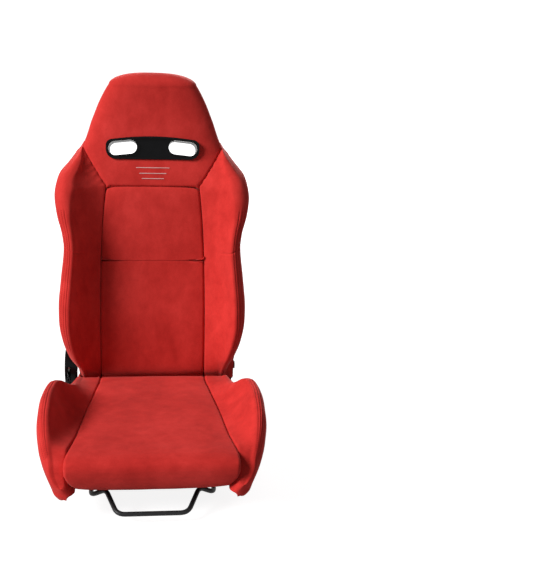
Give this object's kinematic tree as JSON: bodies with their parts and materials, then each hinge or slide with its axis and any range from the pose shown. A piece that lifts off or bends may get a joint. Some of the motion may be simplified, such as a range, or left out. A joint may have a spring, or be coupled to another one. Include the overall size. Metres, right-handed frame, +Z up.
{
  "type": "reclining racing seat",
  "caption": "Reclining racing seat: winged cushion, deep side bolsters, a head with harness slots, a side lever with its recliner, and slide rails with a lift bar.",
  "frame": {"origin": "centre of the four floor bolt holes, on the face that rests on the floor", "axes": "+X to the sitter's left, +Y to the rear, +Z up; the seat faces -Y"},
  "size_m": [0.52, 0.6698, 0.903],
  "materials": {
    "suede": "matte",
    "gloss_black_plastic": "gloss",
    "black_painted_steel": "satin",
    "zinc_steel": "satin"
  },
  "bodies": {
    "base": {"lower_rail_left": "black_painted_steel", "lower_rail_right": "black_painted_steel", "rail_balls": "zinc_steel", "rail_rollers": "zinc_steel"},
    "seat": {"upper_rail_left": "zinc_steel", "upper_rail_right": "zinc_steel", "bar_pivot_pins": "zinc_steel", "cross_strap_front": "black_painted_steel", "cross_strap_rear": "black_painted_steel", "rail_bolts": "zinc_steel", "seat_side_left": "black_painted_steel", "seat_side_right": "black_painted_steel", "seat_front_tube": "black_painted_steel", "seat_rear_tube": "black_painted_steel", "seat_springs": "zinc_steel", "seat_centre_pad": "suede", "seat_bolster_left": "suede", "seat_bolster_right": "suede", "recliner_bracket": "black_painted_steel", "hinge_bracket": "black_painted_steel", "bracket_bolts": "zinc_steel", "recliner_pivot_bolt": "black_painted_steel", "hinge_pivot_bolt": "black_painted_steel", "pawl_pin": "zinc_steel", "recliner_spring": "zinc_steel", "recliner_cover": "gloss_black_plastic", "cover_screws": "black_painted_steel"},
    "bar": {"slide_bar": "black_painted_steel", "latch_left": "zinc_steel", "latch_right": "zinc_steel", "bar_springs": "zinc_steel"},
    "lever": {"recline_lever": "black_painted_steel", "lever_grip": "gloss_black_plastic"},
    "pawl": {"recliner_pawl": "zinc_steel"},
    "backrest": {"recliner_arm": "black_painted_steel", "hinge_arm": "black_painted_steel", "arm_cover": "gloss_black_plastic", "arm_cover_screw": "black_painted_steel", "arm_bolts": "black_painted_steel", "arm_spacers": "zinc_steel", "back_side_plate_left": "black_painted_steel", "back_side_plate_right": "black_painted_steel", "back_frame_hoop": "black_painted_steel", "back_lower_tube": "black_painted_steel", "back_springs": "zinc_steel", "back_centre_pad": "suede", "back_bolster_left": "suede", "back_bolster_right": "suede", "head_pad": "suede", "back_rear_panel": "suede", "front_bezel": "gloss_black_plastic", "rear_bezel_left": "gloss_black_plastic", "rear_bezel_right": "gloss_black_plastic", "harness_sleeve_left": "gloss_black_plastic", "harness_sleeve_right": "gloss_black_plastic"}
  },
  "joints": [
    {"name": "seat_slide", "type": "slide", "parent": "base", "child": "seat", "axis": [0, 1, 0], "range_m": [-0.08, 0.08]},
    {"name": "bar_lift", "type": "hinge", "parent": "seat", "child": "bar", "pos_m": [0, 0.04, 0.027], "axis": [-1, 0, 0], "range_deg": [0, 2.4], "stiffness_Nm_per_rad": 4, "springref_deg": -8.59},
    {"name": "lever_lift", "type": "hinge", "parent": "seat", "child": "lever", "pos_m": [-0.2095, 0.15, 0.165], "axis": [-1, 0, 0], "range_deg": [0, 25], "stiffness_Nm_per_rad": 0.3, "springref_deg": -20.05},
    {"name": "pawl_release", "type": "hinge", "parent": "seat", "child": "pawl", "pos_m": [-0.2055, 0.12213, 0.13991], "axis": [-1, 0, 0], "range_deg": [0, 8]},
    {"name": "recline", "type": "hinge", "parent": "seat", "child": "backrest", "pos_m": [0, 0.15, 0.165], "axis": [1, 0, 0], "range_deg": [-55, 10]}
  ],
  "couplings": [
    {"joint": "pawl_release", "follows": "lever_lift", "ratio": 0.32}
  ]
}
